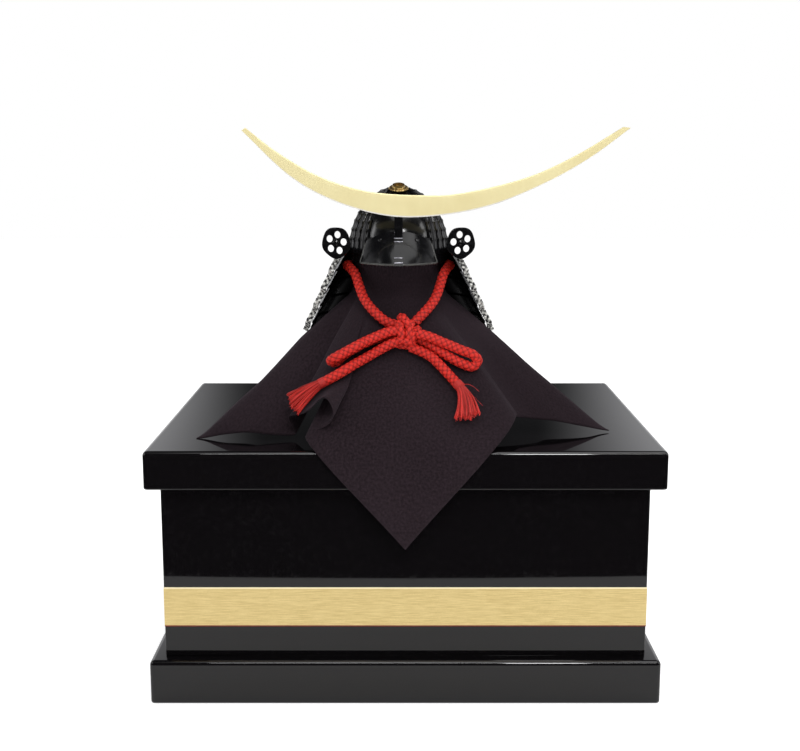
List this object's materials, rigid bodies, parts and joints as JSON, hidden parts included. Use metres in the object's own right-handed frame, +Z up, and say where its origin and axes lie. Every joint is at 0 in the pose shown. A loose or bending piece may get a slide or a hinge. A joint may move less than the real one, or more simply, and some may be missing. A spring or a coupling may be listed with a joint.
{
  "type": "kabuto samurai helmet with cloth-draped stand on its storage chest",
  "caption": "Small display samurai helmet with a crescent crest, neck guard and red tied chin cord, on a cloth-draped stand on its black lacquered storage chest.",
  "frame": {"origin": "middle of the chest's base, on the floor", "axes": "+Z up, -Y is the helmet's and the chest's front, +X is the viewer's right"},
  "size_m": [0.45, 0.3336, 0.5013],
  "materials": {
    "chest_lacquer": "deep gloss black lacquer",
    "gold_band": "matt gold leaf with a fine grain",
    "stand_wood": "plain wood",
    "crepe_cloth": "dark aubergine crepe",
    "helmet_lacquer": "black lacquer",
    "brass_fittings": "antique gold plating",
    "gold_crest": "pale polished gold",
    "edge_braid": "black and white mottled silk braid",
    "red_silk": "red silk braid"
  },
  "bodies": {
    "root": {"chest_plinth": "chest_lacquer", "chest_lid": "chest_lacquer", "chest_front_board": "chest_lacquer", "chest_back_board": "chest_lacquer", "chest_left_board": "chest_lacquer", "chest_right_board": "chest_lacquer", "chest_floor_board": "chest_lacquer", "chest_gold_band": "gold_band", "display_stand": "stand_wood", "draped_cloth": "crepe_cloth", "helmet_bowl": "helmet_lacquer", "front_strip_left": "helmet_lacquer", "front_strip_right": "helmet_lacquer", "waist_band": "helmet_lacquer", "peak": "helmet_lacquer", "neck_lame_1": "helmet_lacquer", "neck_lame_2": "helmet_lacquer", "neck_lame_3": "helmet_lacquer", "neck_lame_4": "helmet_lacquer", "neck_lame_5": "helmet_lacquer", "peak_rivet_left": "helmet_lacquer", "peak_rivet_right": "helmet_lacquer", "crest_holder": "helmet_lacquer", "turnback_left": "helmet_lacquer", "turnback_right": "helmet_lacquer", "turnback_boss_left": "helmet_lacquer", "turnback_boss_right": "helmet_lacquer", "crown_fitting": "brass_fittings", "crescent_crest": "gold_crest", "edge_lacing_left": "edge_braid", "edge_lacing_right": "edge_braid", "chin_cord": "red_silk", "bow_loop_left": "red_silk", "bow_loop_right": "red_silk", "cord_tail_left": "red_silk", "cord_tail_right": "red_silk", "chin_knot": "red_silk", "tassel_left": "red_silk", "tassel_right": "red_silk"}
  },
  "joints": []
}
